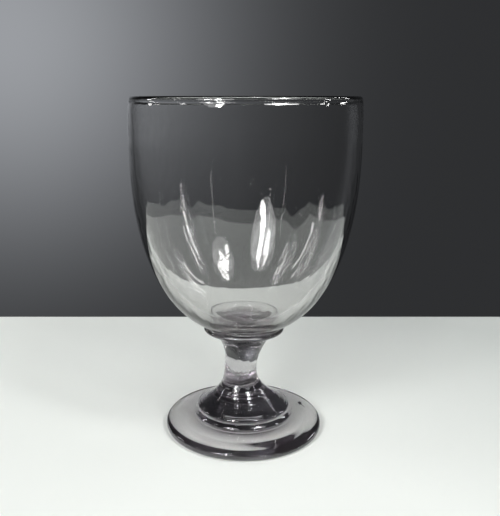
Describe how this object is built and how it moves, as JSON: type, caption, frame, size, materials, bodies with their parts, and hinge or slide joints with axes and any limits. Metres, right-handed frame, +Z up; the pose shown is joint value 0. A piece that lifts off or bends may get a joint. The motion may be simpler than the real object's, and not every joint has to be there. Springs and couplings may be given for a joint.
{
  "type": "rummer glass",
  "caption": "Large antique rummer: deep round-bottomed blown bowl on a collar, short waisted stem, bell base, terrace disc and thick flat foot, in smoky amethyst glass.",
  "frame": {"origin": "middle of the ring that the foot rests on, on the surface it stands on", "axes": "+Z up along the axis of the glass, -Y towards the viewer of the picture, the waist of the stem sways towards -X"},
  "size_m": [0.099, 0.099, 0.15],
  "materials": {
    "blown_glass": "fire-polished smoky amethyst glass, blown thin",
    "solid_glass": "fire-polished smoky amethyst glass, solid"
  },
  "bodies": {
    "root": {"foot": "solid_glass", "terrace": "solid_glass", "stem": "solid_glass", "collar": "solid_glass", "bowl": "blown_glass"}
  },
  "joints": []
}
